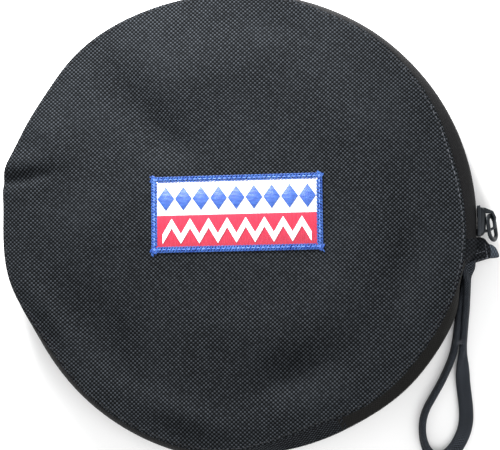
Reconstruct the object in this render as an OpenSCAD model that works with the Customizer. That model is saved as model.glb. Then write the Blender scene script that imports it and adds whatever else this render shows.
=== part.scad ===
// Round zipped fabric pouch with a woven label, a side zip and a wrist strap.
// It lies on its back panel. The origin is the middle of that panel's underside, +Z is up,
// and the zip slider is parked on the +X side.
// The front panel folds up along a straight line between the two ends of the zip.

/* [Pouch] */
// Radius of the front panel to its turned edge
front_r = 97; // [94:0.5:98]
// Radius of the back panel, which is what the pouch lies on
back_r = 95.5; // [94:0.5:98]
// Height from the back panel's underside to the front panel's top
pouch_h = 24; // [22:1:34]
// Thickness of a panel with its coating and turned edge
panel_t = 1.4; // [0.8:0.1:1.8]

/* [Wall] */
// Radius of the wall's inner face where the zip runs
zip_r = 98.6; // [98:0.1:99.4]
// Radius of the wall's inner face along the spine, where there is no zip
spine_r = 95.8; // [95:0.1:97]
// Thickness of the spine's webbing and patch
spine_t = 1; // [0.6:0.1:1.2]
// Angle where the zip begins, beside the end tab
zip_from = -4.7; // [-6:0.1:-4.5]
// Angle where the zip stops, at the far end patch
zip_to = 260; // [258:1:262]
// Angle where the woven spine patch meets the smooth webbing
patch_to = 292; // [280:1:310]
// Angle where the spine ends, under the end tab
spine_to = 349.8; // [348:0.1:351]

/* [Zip] */
// Thickness of the zip's tape
tape_t = 0.6; // [0.4:0.1:0.8]
// Width of one row of coil
coil_w = 2.7; // [2.4:0.1:2.9]
// Thickness of the coil, which is sewn to the tape's inner face
coil_t = 1.8; // [1.5:0.1:2]
// Gap between the two rows of coil, which the slider's divider runs in
coil_gap = 0.9; // [0.9:0.1:1.1]

/* [Slider] */
// Length of the slider along the zip
slider_l = 12.4; // [11:0.1:13]
// Thickness of each of the slider's two plates
plate_t = 1.4; // [1:0.1:1.5]
// Width of the bail that holds the puller
bail_w = 2.4; // [2:0.1:2.6]
// Width of the puller
puller_w = 6.9; // [6.8:0.1:7.4]
// Thickness of the puller
puller_t = 1.2; // [1:0.1:1.3]
// Lean of the puller's pin from the upright, in the loose bail
puller_lean = 18; // [12:1:19]

/* [Fold] */
// Direction of the middle of the spine, seen from the middle of the pouch
fold_dir = 304; // [302:1:306]
// Distance of the fold line from the middle of the pouch
fold_at = 48; // [46:0.5:49]

/* [Label] */
// Length of the label
label_l = 72.4; // [50:0.2:90]
// Height of the label
label_h = 32; // [20:0.5:40]
// Width of the label's woven border
border_w = 2; // [1.5:0.1:3]
// Height of the lower field
lower_h = 13.6; // [8:0.1:15]

/* [Strap] */
// Diameter of the strap's plain tube
strap_d = 3; // [2:0.1:3.2]

/* [Hidden] */
$fn = 96;

chain_z = pouch_h / 2;                // height of the middle of the zip
knee = 5;                             // the wall leans inwards beyond this far from chain_z
tape_back_off = 0.6;                  // from chain_z to the free edge of either tape
foot_in = 1.1;                        // how far the wall's seam lies inside a panel's edge
fold_gap = 0.15;                      // half the cut between the flap and the heel
slit = 0.35;                          // running clearance between the slider and the zip
tape_out = zip_r + tape_t;
coil_in = zip_r - coil_t;
cover_in = 96.2;                      // inner and outer radius of the covers on the zip's ends
cover_out = 99.6;

front_low = pouch_h - panel_t;        // underside of the front panel
edge_c = 0.5;                         // chamfer of a turned edge
far = 300;                            // larger than the pouch, for cutting blocks

black = [0.09, 0.1, 0.11];
tape_black = [0.13, 0.12, 0.12];
thread = [0.3, 0.3, 0.32];
gunmetal = [0.25, 0.27, 0.3];

// ---- helpers ------------------------------------------------------------

// A profile of [radius, height] turned about Z between two angles.
module arc(from, to) {
    rotate([0, 0, from]) rotate_extrude(angle = to - from, $fn = 240) children();
}

// A path and its copy moved outwards, which closes it into a strip of thickness t.
function strip(path, t) =
    concat(path, [for (i = [len(path) - 1:-1:0]) path[i] + [t, 0]]);

// A rectangle with its four corners cut, from its low corner and its size.
function cut_box(low, size, c) = [
    low + [c, 0], low + [size.x - c, 0], low + [size.x, c], low + [size.x, size.y - c],
    low + [size.x - c, size.y], low + [c, size.y], low + [0, size.y - c], low + [0, c]
];

// What lies on the flap's side of the fold, and what lies on the heel's side.
module flap_side() {
    intersection() {
        children();
        rotate([0, 0, fold_dir]) translate([fold_at - fold_gap - far, -far / 2, 0])
            cube([far, far, far]);
    }
}

module heel_side(back_off = 0) {
    intersection() {
        children();
        rotate([0, 0, fold_dir]) translate([fold_at + fold_gap + back_off, -far / 2, 0])
            cube([far, far, far]);
    }
}

// ---- panels -------------------------------------------------------------

module disc(r, z) {
    translate([0, 0, z]) rotate_extrude($fn = 240) polygon([
        [0, 0], [r - edge_c, 0], [r, edge_c], [r, panel_t - edge_c], [r - edge_c, panel_t],
        [0, panel_t]
    ]);
}

module front_panel() color(black) flap_side() disc(front_r, front_low);

module front_panel_heel() color(black) heel_side() disc(front_r, front_low);

module back_panel() color(black) disc(back_r, 0);

// ---- wall: zip tapes and coils ------------------------------------------

module front_tape() {
    path = [
        [zip_r, chain_z + tape_back_off], [zip_r, chain_z + knee], [front_r - foot_in, front_low]
    ];
    arc(zip_from, zip_to) polygon(strip(path, tape_t));
}

module zip_tape_front() color(tape_black) flap_side() front_tape();

module zip_tape_front_ends() color(tape_black) heel_side() front_tape();

module zip_tape_back() color(tape_black) {
    path = [
        [back_r - foot_in, panel_t], [zip_r, chain_z - knee], [zip_r, chain_z - tape_back_off]
    ];
    arc(zip_from, zip_to) polygon(strip(path, tape_t));
}

module coil(z) {
    arc(zip_from, zip_to) polygon(cut_box([coil_in, z], [coil_t, coil_w], 0.5));
}

module zip_coil_front() color(black) flap_side() coil(chain_z + coil_gap / 2);

module zip_coil_front_ends() color(black) heel_side() coil(chain_z + coil_gap / 2);

module zip_coil_back() color(black) coil(chain_z - coil_gap / 2 - coil_w);

// ---- wall: spine and the covers on the zip's ends -----------------------

module spine(from, to) {
    path = [
        [back_r - foot_in, panel_t], [spine_r, chain_z - knee], [spine_r, chain_z + knee],
        [front_r - foot_in - spine_t / 2, front_low]
    ];
    arc(from, to) polygon(strip(path, spine_t));
}

cover_turn = 4;                       // angle that the far end patch covers

module spine_webbing() color(tape_black) spine(patch_to, spine_to);

module spine_patch() color(black) spine(zip_to + cover_turn, patch_to);

// The folded fabric that covers a cut end of the zip.
module end_cover(from, to) {
    arc(from, to) polygon([
        [back_r - foot_in, panel_t], [cover_in, chain_z - knee], [cover_in, chain_z + knee],
        [front_r - foot_in, front_low], [front_r - foot_in + tape_t, front_low],
        [cover_out, chain_z + knee], [cover_out, chain_z - knee],
        [back_r - foot_in + tape_t, panel_t]
    ]);
}

tab_t = 2.4;                          // two layers of fabric with the tape's end between them
tab_outline = [
    [97.4, -8.4], [106, -8.4], [109, -9.8], [109.6, -14.6], [104.6, -15.8], [97.2, -17]
];

module zip_end_tab() color(black) {
    end_cover(spine_to - 360, zip_from);
    translate([0, 0, chain_z - tab_t / 2]) linear_extrude(tab_t) polygon(tab_outline);
}

module zip_end_patch() color(black) end_cover(zip_to, zip_to + cover_turn);

// ---- seams and stitching ------------------------------------------------

bind_w = 1.6;                         // section of the binding on the raw edges inside
bind_h = 2;
bind_in = 3;                          // from a panel's edge to the binding

module front_binding() {
    arc(0, 360) translate([front_r - bind_in - bind_w, front_low - bind_h])
        square([bind_w, bind_h]);
}

module seam_binding_front() color(tape_black) flap_side() front_binding();

module seam_binding_front_heel() color(tape_black) heel_side() front_binding();

module seam_binding_back() color(tape_black) {
    arc(0, 360) translate([back_r - bind_in - bind_w, panel_t]) square([bind_w, bind_h]);
}

thread_w = 0.5;
thread_h = 0.3;
stitch_in = 1.6;                      // from the front panel's edge to its row of stitches
stitch_clear = 1.5;                   // the stitching stops this far short of the fold

module front_stitches() {
    arc(0, 360) translate([front_r - stitch_in - thread_w, pouch_h])
        square([thread_w, thread_h]);
}

module front_topstitch() color(thread) {
    intersection() {
        front_stitches();
        rotate([0, 0, fold_dir]) translate([fold_at - stitch_clear - far, -far / 2, 0])
            cube([far, far, far]);
    }
}

module front_topstitch_heel() color(thread) heel_side(stitch_clear) front_stitches();

// The row of stitches that holds the wall to the back panel, in the wall's foot.
module back_topstitch() color(thread) {
    arc(0, 360) translate([back_r - bind_in + 0.4, panel_t]) square([thread_w, thread_h]);
}

module tab_stitching() color(thread) {
    top = chain_z + tab_t / 2;
    translate([103.4, -15.2, top]) cube([thread_w, 6, thread_h]);
    translate([99.9, -12.6, top]) cube([3, thread_w, thread_h]);
}

// ---- label --------------------------------------------------------------

label_at = [-0.3, 3.8];
label_turn = 0.6;
label_t = 0.6;
field_t = 0.5;

module on_label() {
    translate([label_at.x, label_at.y, pouch_h]) rotate([0, 0, label_turn]) children();
}

module label_border() color([0.1, 0.25, 0.65]) on_label() linear_extrude(label_t)
    difference() {
        square([label_l, label_h], center = true);
        square([label_l - 2 * border_w, label_h - 2 * border_w], center = true);
    }

module label_field(low, high) {
    on_label() translate([border_w - label_l / 2, low, 0])
        cube([label_l - 2 * border_w, high - low, field_t]);
}

field_split = border_w - label_h / 2 + lower_h;

module label_upper_field() color([0.92, 0.92, 0.95])
    label_field(field_split, label_h / 2 - border_w);

module label_lower_field() color([0.85, 0.15, 0.2])
    label_field(border_w - label_h / 2, field_split);

// Thread that holds the border down, along its middle.
module label_stitching() color([0.2, 0.35, 0.75]) on_label()
    translate([0, 0, label_t]) linear_extrude(thread_h) difference() {
        square([label_l - border_w + thread_w / 2, label_h - border_w + thread_w / 2], center = true);
        square([label_l - border_w - thread_w, label_h - border_w - thread_w], center = true);
    }

// ---- slider and puller --------------------------------------------------

plate_w = coil_w * 2 + coil_gap + 2 * slit + 1.8;
inner_plate_r = coil_in - slit - plate_t;
outer_plate_r = tape_out + slit;
plate_top = outer_plate_r + plate_t;
slider_turn = slider_l / zip_r * 90 / PI;     // half the slider's length, as an angle
divider_t = 0.5;
flange_w = 0.9;

module slider_body() color(gunmetal) {
    low = chain_z - plate_w / 2;
    flange_r = inner_plate_r + plate_t;
    flange_h = zip_r - slit - flange_r;
    arc(-slider_turn, slider_turn) {
        translate([inner_plate_r, low]) square([plate_t, plate_w]);
        translate([outer_plate_r, low]) square([plate_t, plate_w]);
        translate([flange_r, low]) square([flange_h, flange_w]);
        translate([flange_r, low + plate_w - flange_w]) square([flange_h, flange_w]);
    }
    // the divider at the nose, which joins the plates and parts the two rows of coil
    arc(-slider_turn + 0.1, -slider_turn / 2)
        translate([inner_plate_r, chain_z - divider_t / 2])
        square([plate_top - inner_plate_r, divider_t]);
}

// Side view of the bail: x is outwards from the plate, y is along the zip.
bail_outer = [[-0.6, -4.8], [3.2, -4.5], [5.9, -2.9], [6.3, 1.6], [5.1, 4.2], [2, 5.6], [-0.6, 6]];
bail_inner = [[-1, -3.6], [2.9, -3.4], [5, -2.4], [5.2, 1.4], [4.2, 3.3], [-1, 3.6]];

module slider_bail() color(gunmetal) {
    translate([plate_top, 0, chain_z - bail_w / 2]) linear_extrude(bail_w) difference() {
        polygon(bail_outer);
        polygon(bail_inner);
    }
}

pin_out = 3.6;                        // from the plate to the middle of the puller's pin
pin_along = 1.6;                      // from the slider's middle to the pin, along the zip
pin_r = 0.65;
arm_w = 1.2;                          // width of each arm of the puller's eye
eye_l = 4.45;                         // from the pin to where the eye's round end begins
body_l = 6;                           // from the pin to where the puller's round end begins

module puller() color(gunmetal) {
    eye_half = puller_w / 2 - arm_w;
    translate([plate_top + pin_out, pin_along, chain_z]) rotate([0, -puller_lean, 0]) {
        rotate([90, 0, 90]) translate([0, 0, -puller_t / 2]) linear_extrude(puller_t)
            difference() {
                union() {
                    translate([-body_l, -puller_w / 2]) square([body_l + pin_r, puller_w]);
                    translate([-body_l, 0]) circle(d = puller_w);
                }
                translate([-eye_l, -eye_half]) square([eye_l + pin_r + 1, 2 * eye_half]);
                translate([-eye_l, 0]) circle(r = eye_half);
            }
        cylinder(r = pin_r, h = 2 * eye_half + 0.4, center = true);
    }
}

// ---- wrist strap --------------------------------------------------------

// The loop leaves the end tab, comes down to the table, goes round and returns below itself.
strap_route = [
    [97.6, -15.6, 12.6], [97.5, -20, 11.8], [97.2, -25, 10.2], [96.8, -30, 8.2],
    [96.4, -36, 5.8], [95.9, -42, 4], [95.3, -48, 2.8], [94.8, -54, 2.2], [94.6, -60, 2],
    [94.8, -66, 2], [95.3, -72, 2], [95.8, -78, 2], [95.8, -84, 2], [94.6, -90, 2],
    [91.8, -95.5, 2], [87.4, -99.2, 2], [82.6, -99.4, 2], [79, -96, 2], [77.4, -90.5, 2],
    [77.6, -84.5, 2], [79.2, -78.6, 2], [81.8, -72.8, 2], [84.8, -67, 2], [87.6, -61, 2],
    [89.8, -54.6, 2], [91, -48, 2], [92, -42, 2.2], [93.2, -36, 3], [94.6, -30, 4.6],
    [96, -25, 6.4], [97, -20, 8], [97.5, -16.8, 10.6]
];
strap_sides = 8;

function unit(v) = v / norm(v);
function heading(p, i) = unit(p[min(i + 1, len(p) - 1)] - p[max(i - 1, 0)]);
function ring(p, i, r, n) =
    let (t = heading(p, i), side = unit(cross(t, [0, 0, 1])), up = cross(side, t))
    [for (k = [0:n - 1]) p[i] + r * (cos(360 * k / n) * side + sin(360 * k / n) * up)];

module tube(p, r, n) {
    last = len(p) - 1;
    points = [for (i = [0:last]) each ring(p, i, r, n)];
    skin = [for (i = [0:last - 1]) for (k = [0:n - 1]) let (m = (k + 1) % n)
        [i * n + k, (i + 1) * n + k, (i + 1) * n + m, i * n + m]];
    caps = [[for (k = [0:n - 1]) k], [for (k = [n - 1:-1:0]) last * n + k]];
    polyhedron(points, concat(skin, caps));
}

module wrist_strap() color(tape_black) tube(strap_route, strap_d / 2, strap_sides);

// The dense stitches that close the two strands together below the pouch.
module strap_bartack() color(thread) translate([93.2, -49, 2.4]) rotate([0, 8, 0])
    cube([3, 2.2, 1.6], center = true);

front_panel();
front_panel_heel();
back_panel();
zip_tape_front();
zip_tape_front_ends();
zip_tape_back();
zip_coil_front();
zip_coil_front_ends();
zip_coil_back();
spine_webbing();
spine_patch();
zip_end_tab();
zip_end_patch();
seam_binding_front();
seam_binding_front_heel();
seam_binding_back();
front_topstitch();
front_topstitch_heel();
back_topstitch();
tab_stitching();
label_border();
label_upper_field();
label_lower_field();
label_stitching();
slider_body();
slider_bail();
puller();
wrist_strap();
strap_bartack();
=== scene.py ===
# %% [markdown]
# # A round zipped pouch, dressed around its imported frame
# The pouch is flat and round: two panels of coarse ballistic cloth, a zip round three quarters
# of the wall, webbing for a spine, a sewn woven label and a wrist strap of braided cord.
# The frame says where every part is and how it moves. This file makes what the eye sees.
# Sizes are written in millimetres, as a maker would, and turned to metres when a mesh is made.

# %% Load the frame
import math
import random

import bmesh
import bpy
from mathutils import Matrix, Vector


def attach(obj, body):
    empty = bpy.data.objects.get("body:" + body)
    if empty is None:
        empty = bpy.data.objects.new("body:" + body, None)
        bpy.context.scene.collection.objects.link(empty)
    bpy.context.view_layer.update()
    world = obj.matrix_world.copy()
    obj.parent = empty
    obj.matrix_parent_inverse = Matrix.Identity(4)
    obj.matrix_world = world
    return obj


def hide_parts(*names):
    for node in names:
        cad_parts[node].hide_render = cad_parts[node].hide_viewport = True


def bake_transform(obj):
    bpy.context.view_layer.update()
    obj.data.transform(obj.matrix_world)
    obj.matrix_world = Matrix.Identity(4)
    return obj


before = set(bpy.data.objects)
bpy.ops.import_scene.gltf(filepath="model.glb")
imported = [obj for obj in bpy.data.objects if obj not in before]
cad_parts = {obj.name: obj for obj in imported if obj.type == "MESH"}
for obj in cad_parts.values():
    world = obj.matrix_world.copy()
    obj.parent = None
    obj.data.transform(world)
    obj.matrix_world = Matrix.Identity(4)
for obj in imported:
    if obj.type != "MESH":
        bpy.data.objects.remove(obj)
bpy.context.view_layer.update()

# %% [markdown]
# ## Small helpers
# Everything is placed by radius, angle and height, since the pouch is round. A smooth step is
# used wherever one shape eases into the next, because cloth has no sudden changes.

# %% Places and easing
MM = 0.001


def polar(radius, degrees, height):
    """A point in mm from its distance from the middle, its angle and its height."""
    turn = math.radians(degrees)
    return Vector((radius * math.cos(turn), radius * math.sin(turn), height))


def ease(low, high, x):
    """0 up to low, 1 from high on, and smooth between. low may be the larger."""
    t = min(max((x - low) / (high - low), 0.0), 1.0)
    return t * t * (3 - 2 * t)


def angle_of(point):
    """A point's angle round the pouch, in degrees."""
    return math.degrees(math.atan2(point[1], point[0]))


def hill(angle, centre, width):
    """1 at the centre angle, fading to 0 over about twice the width."""
    away = (angle - centre + 180) % 360 - 180
    return math.exp(-((away / width) ** 2))


print("the smooth step is", ease(0, 1, 0.5), "half way")

# %% [markdown]
# ## Camera, floor and light
# The pouch lies on a pale table and is seen from almost straight above, from a little to the
# lower right. A long lens from 650 mm away keeps the circle round. Most of the light is a white
# room. A low window lamp beyond the top of the pouch grazes the cloth, which brings out its weave
# and dents, and a wide lamp high over the lower right keeps every shadow soft.

# %% Camera
LOOK_AT = Vector((5.4, -1.3, 24)) * MM
CAMERA_AWAY = 0.65
CAMERA_HIGH, CAMERA_TURN = math.radians(80), math.radians(-35)
towards_camera = Vector((
    math.cos(CAMERA_HIGH) * math.cos(CAMERA_TURN),
    math.cos(CAMERA_HIGH) * math.sin(CAMERA_TURN),
    math.sin(CAMERA_HIGH),
))
sideways = Vector((0, 1, 0)).cross(towards_camera).normalized()
upwards = towards_camera.cross(sideways)
camera = bpy.data.objects.new("camera", bpy.data.cameras.new("camera"))
camera.data.sensor_width = 36
camera.data.lens = 112
camera.data.clip_start = 0.01
camera.matrix_world = Matrix.Translation(LOOK_AT + towards_camera * CAMERA_AWAY) @ Matrix(
    (sideways, upwards, towards_camera)
).transposed().to_4x4()
bpy.context.scene.collection.objects.link(camera)
bpy.context.scene.camera = camera
print("camera at", [round(x, 3) for x in camera.matrix_world.translation])

# %% Colours and the one function that adds a shader node


def colour(hex_code):
    """An sRGB hex colour as the linear colour that a shader takes."""
    parts = [int(hex_code[i : i + 2], 16) / 255 for i in (1, 3, 5)]
    return (*(p / 12.92 if p < 0.04045 else ((p + 0.055) / 1.055) ** 2.4 for p in parts), 1)


def add(tree, kind, inputs=None, **settings):
    """Adds a shader node. Each input, by name or number, is a value or another node's output."""
    new = tree.nodes.new("ShaderNode" + kind)
    for key, value in settings.items():
        setattr(new, key, value)
    for key, value in (inputs or {}).items():
        if isinstance(value, bpy.types.NodeSocket):
            tree.links.new(value, new.inputs[key])
        else:
            new.inputs[key].default_value = value
    return new


def material(name, **sockets):
    """A material with its principled shader's fixed values set. Returns it, its tree and shader."""
    made = bpy.data.materials.new(name)
    made.use_nodes = True
    shader = made.node_tree.nodes["Principled BSDF"]
    for key, value in sockets.items():
        shader.inputs[key.replace("_", " ")].default_value = value
    return made, made.node_tree, shader


def math_node(tree, operation, *values, **settings):
    """The output of a math node. Each value is a number or another node's output."""
    return add(tree, "Math", dict(enumerate(values)), operation=operation, **settings).outputs[0]


print("mid grey is", round(colour("#808080")[0], 3), "in linear light")

# %% Floor, sky and lamp
bpy.context.scene.view_settings.view_transform = "Standard"
paper, tree, shader = material("matt_white_card", Roughness=0.9, Specular_IOR_Level=0.1)
grain = add(tree, "TexNoise", {"Scale": 40.0, "Detail": 2.0}).outputs[0]
card = add(tree, "MixRGB", {0: grain, 1: colour("#FAFAFA"), 2: colour("#FFFFFF")}).outputs[0]
tree.links.new(card, shader.inputs["Base Color"])
bm = bmesh.new()
bmesh.ops.create_grid(bm, x_segments=1, y_segments=1, size=3)
floor_mesh = bpy.data.meshes.new("table_top")
bm.to_mesh(floor_mesh)
bm.free()
floor_mesh.materials.append(paper)
floor = bpy.data.objects.new("table_top", floor_mesh)
bpy.context.scene.collection.objects.link(floor)

world = bpy.data.worlds.new("white_room")
world.use_nodes = True
sky = world.node_tree.nodes["Background"]
sky.inputs["Color"].default_value = colour("#FFFFFF")
sky.inputs["Strength"].default_value = 0.62
bpy.context.scene.world = world


def lamp(name, place, size, power):
    """A square lamp that faces the pouch: its place and side in metres, its power in watts."""
    data = bpy.data.lights.new(name, "AREA")
    data.size, data.energy = size, power
    made = bpy.data.objects.new(name, data)
    made.location = place
    made.rotation_euler = (-Vector(place)).to_track_quat("-Z", "Y").to_euler()
    bpy.context.scene.collection.objects.link(made)


lamp("window", (-0.08, 0.27, 0.17), 0.16, 3.3)
lamp("ceiling", (0.45, -0.4, 1.3), 1.2, 13)
print("lamps and floor are in")

# %% [markdown]
# ## How the soft pouch differs from the neat one
# The frame's pouch is a true disc. Real cloth over a sewn wall is not: the edge wanders in and
# out, the top has shallow dents and one short crease, the spine's webbing bellies outwards, and
# the wall is pinched where the webbing meets the end tab.
# One function moves any point of the neat pouch to its place on the soft one. The front panel,
# the wall's strips, the binding and the rows of stitches round the pouch use it, so that tape,
# stitches and cloth stay joined. The zip's coils and the slider are not moved by it, because the
# slider needs a true circle to run on.

# %% The edge's wandering, the dents and the belly
# centre angle, width in degrees, push outwards, rise (mm)
EDGE_LUMPS = (
    (128, 28, 4.0, 0.2), (182, 24, 4.3, 0.2), (168, 6, 1.9, 0.3), (193, 8, 0.9, 0.0),
    (160, 12, 2.2, 0.2), (134, 12, 1.1, 0.1), (213, 11, -1.5, -0.2), (88, 12, 0.6, 0.2),
    (66, 9, -0.8, 0.1), (15, 20, -3.4, -0.5), (42, 10, -0.6, 0.1), (288, 17, -5.4, -0.6),
    (322, 26, -3.1, -0.5), (240, 16, -0.6, 0.2),
)
# middle x, y, half length, half width, heading in degrees, height (mm)
DENTS = (
    (-37, 42, 26, 9, 130, -3.6), (24, -66, 21, 10, 20, -3.8), (-56, -52, 30, 14, 127, -4.2),
    (-14, 64, 26, 14, 10, 2.0), (52, 40, 26, 16, 120, 2.0), (34, -36, 22, 13, 40, 1.7),
    (-89, 18.5, 11, 2.3, 9, -2.4), (-88, 25, 13, 4, 9, 1.4), (-76, 34, 14, 7, 118, 1.7),
    (70, -22, 18, 9, 80, -1.8), (-62, 0, 20, 11, 80, 1.9), (2, -46, 20, 10, 170, 1.6),
    (-24, -80, 24, 6, 160, 2.2), (-79, -38, 20, 5, 118, 1.8), (62, 4, 20, 8, 100, 1.3),
    (14, 84, 20, 7, 170, -1.4),
)
LABEL_AT, LABEL_TURN = Vector((-0.3, 3.8, 0)), 0.6
LABEL_LONG, LABEL_HIGH = 72.4, 32.0
POUCH_H, WALL_R = 24.0, 98.6


def surface(x, y):
    """How far the top stands above the neat one, in mm. It is flat under the label."""
    radius = math.hypot(x, y)
    total = -0.7 * ease(86, 97, radius)
    for mid_x, mid_y, long, wide, heading, height in DENTS:
        turn = math.radians(heading)
        along = (x - mid_x) * math.cos(turn) + (y - mid_y) * math.sin(turn)
        across = (y - mid_y) * math.cos(turn) - (x - mid_x) * math.sin(turn)
        total += height * math.exp(-((along / long) ** 2) - (across / wide) ** 2)
    beside = max(abs(x - LABEL_AT.x) - LABEL_LONG / 2, abs(y - LABEL_AT.y) - LABEL_HIGH / 2)
    return total * ease(-1, 15, beside)


def settle(point):
    """Where a point of the neat pouch is on the soft one, in mm."""
    x, y, z = point
    radius, angle = math.hypot(x, y), angle_of(point)
    if radius < 1e-6:
        return Vector((x, y, z + surface(x, y) * ease(19, 22, z)))
    push = sum(out * hill(angle, mid, wide) for mid, wide, out, rise in EDGE_LUMPS)
    rise = sum(up * hill(angle, mid, wide) for mid, wide, out, up in EDGE_LUMPS)
    top = ease(15, 22.4, z)
    at_rim = ease(55, 94, radius)
    spine = ease(296, 318, angle % 360) * ease(348, 334, angle % 360)
    belly = 1.5 * spine * ease(1.5, 9, z) * ease(22.5, 15, z)
    pinch = -1.5 * hill(angle, 345, 5) * ease(1.5, 5, z) * ease(20, 15, z)
    out = push * top * at_rim + belly + pinch
    return Vector((
        x + out * x / radius,
        y + out * y / radius,
        z + (rise * at_rim + surface(x, y)) * top,
    ))


print("the corner stands out", round(settle(polar(97, 168, 24)).xy.length - 97, 2), "mm")

# %% [markdown]
# ## From a bmesh to a finished piece
# Each piece is a bmesh in millimetres. This cell settles it, turns it to metres, stores where
# each point lies on the cloth (in mm along and across the weave) and a random tone, and puts it on
# its body. Cloth that crosses the fold is put on no body and keeps its place.


def flat_weave(point):
    """Cloth that lies level: its weave runs along x and y."""
    return point[0], point[1]


def wall_weave(start):
    """Cloth that runs round the wall from an angle: mm along it, and mm over its section."""
    def weave(point):
        inset = WALL_R - math.hypot(point[0], point[1])
        along = math.radians((angle_of(point) - start + 5) % 360) * WALL_R
        return along, point[2] + math.copysign(inset, point[2] - POUCH_H / 2)
    return weave


def finish_piece(name, bm, finish, body, replaced=(), weave=flat_weave, sharp=40, turn=True):
    """Makes the piece from a bmesh in mm. With body "fold" it is put on no body and keeps its
    place.
    """
    if turn:
        bmesh.ops.recalc_face_normals(bm, faces=bm.faces[:])
    mesh = bpy.data.meshes.new(name)
    bm.to_mesh(mesh)
    bm.free()
    cloth = mesh.attributes.new("cloth", "FLOAT_VECTOR", "POINT")
    for vert, stored in zip(mesh.vertices, cloth.data):
        stored.vector = (*weave(vert.co), 0)
    mesh.transform(Matrix.Scale(MM, 4))
    for face in mesh.polygons:
        face.use_smooth = True
    mesh.set_sharp_from_angle(angle=math.radians(sharp))
    mesh.materials.append(finish)
    piece = bpy.data.objects.new(name, mesh)
    bpy.context.scene.collection.objects.link(piece)
    if body == "fold":
        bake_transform(piece)
    else:
        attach(piece, body)
    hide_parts(*replaced)
    print(f"{name}: {len(mesh.polygons)} faces")
    return piece


def settle_all(bm):
    """Moves every point of a bmesh to its place on the soft pouch."""
    for vert in bm.verts:
        vert.co = settle(vert.co)


def verts_of(geom):
    """The vertices among what an operator made."""
    return [part for part in geom if isinstance(part, bmesh.types.BMVert)]


def join(bm, part):
    """Adds all of the bmesh part to bm."""
    mesh = bpy.data.meshes.new("part")
    part.to_mesh(mesh)
    part.free()
    bm.from_mesh(mesh)
    bpy.data.meshes.remove(mesh)


# %% [markdown]
# ## Cloth finishes
# Ballistic cloth is heavy filament yarn in a basket weave. Where a bundle comes to the top it
# catches the light, and the holes between bundles are round and nearly black. Both are painted
# into the colour as well as bumped: a painted highlight on each bundle's crown and painted shade
# in each hole. The pattern repeats every 1.81 mm by 1.67 mm. The product of two sines is exactly
# that checkerboard: its low places are the holes. A slow noise lets the rows drift, as hand-cut
# cloth does, and a random value for each bundle keeps it from looking printed.

# %% Woven cloth
FULL_TURN = 2 * math.pi


def woven(name, repeat, dark, light, drift, bump_mm, rough, sheen, slow=0.12, fuzz=0.25, gap=0.5):
    """Cloth of two yarns: repeat in mm along and across, drift of the rows in mm, depth of bump.

    slow and fuzz are how much the tone varies over the piece and over a yarn. light is the painted
    highlight on the yarns' crowns and dark the painted shade in the holes. A smaller gap gives
    wider holes.
    """
    made, tree, shader = material(
        name, Specular_IOR_Level=0.07, Sheen_Weight=sheen, Sheen_Roughness=0.4
    )
    shader.inputs["Sheen Tint"].default_value = light
    place = add(tree, "Attribute", attribute_name="cloth").outputs["Vector"]
    wander = add(tree, "TexNoise", {"Vector": place, "Scale": 0.05, "Detail": 1.0}).outputs["Color"]
    eased = add(
        tree, "VectorMath", {0: wander, 1: (drift, drift, 0), 2: place}, operation="MULTIPLY_ADD"
    ).outputs[0]
    axes = add(tree, "SeparateXYZ", {0: eased}).outputs
    warp = math_node(tree, "SINE", math_node(tree, "MULTIPLY", axes[0], FULL_TURN / repeat[0]))
    weft = math_node(tree, "SINE", math_node(tree, "MULTIPLY", axes[1], FULL_TURN / repeat[1]))
    bead = math_node(tree, "MULTIPLY", warp, weft)
    cell = add(
        tree, "VectorMath", {0: eased, 1: (2 / repeat[0], 2 / repeat[1], 0)}, operation="MULTIPLY"
    ).outputs[0]
    cell = add(tree, "VectorMath", {0: cell}, operation="FLOOR").outputs[0]
    chance = add(tree, "TexWhiteNoise", {"Vector": cell}, noise_dimensions="2D").outputs["Value"]
    fibre = add(tree, "TexNoise", {"Vector": place, "Scale": 2.2, "Detail": 3.0}).outputs[0]
    broad = add(tree, "TexNoise", {"Vector": place, "Scale": 0.035, "Detail": 2.0}).outputs[0]
    yarn = add(
        tree, "MapRange", {0: bead, 1: -gap, 2: 0.75, 3: 0.0, 4: 1.0},
        interpolation_type="SMOOTHSTEP",
    ).outputs[0]
    strength = math_node(tree, "MULTIPLY_ADD", chance, 0.55, 0.6)
    share = math_node(tree, "MULTIPLY", yarn, strength)
    share = math_node(tree, "ADD", share, math_node(tree, "MULTIPLY", fibre, fuzz))
    share = math_node(
        tree, "ADD", share, math_node(tree, "MULTIPLY_ADD", broad, 2 * slow, -slow - fuzz / 2)
    )
    share = math_node(tree, "MAXIMUM", share, 0.0)
    # Painted light: the mix puts a painted highlight on each yarn's crown and painted shade in the
    # holes.
    mix = add(tree, "MixRGB", {0: share, 1: dark, 2: light}).outputs[0]
    tree.links.new(mix, shader.inputs["Base Color"])
    height = math_node(
        tree, "ADD", math_node(tree, "ABSOLUTE", bead), math_node(tree, "MULTIPLY", fibre, 0.3)
    )
    bump = add(tree, "Bump", {"Height": height, "Distance": bump_mm * MM, "Strength": 0.8})
    tree.links.new(bump.outputs[0], shader.inputs["Normal"])
    tree.links.new(
        math_node(tree, "MULTIPLY_ADD", share, -0.15, rough), shader.inputs["Roughness"]
    )
    return made


print("cloth is drawn from two sines and four noises")

# %% The pouch's woven finishes
# Coated ballistic polyester: round holes in painted shade, nearly black, and a dark grey painted
# highlight on the filament yarn.
ballistic = woven(
    "ballistic_polyester_cloth", (1.81, 1.67), colour("#040506"), colour("#383C41"),
    drift=1.6, bump_mm=0.14, rough=0.8, sheen=0.005, fuzz=0.17, gap=0.22,
)
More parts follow.
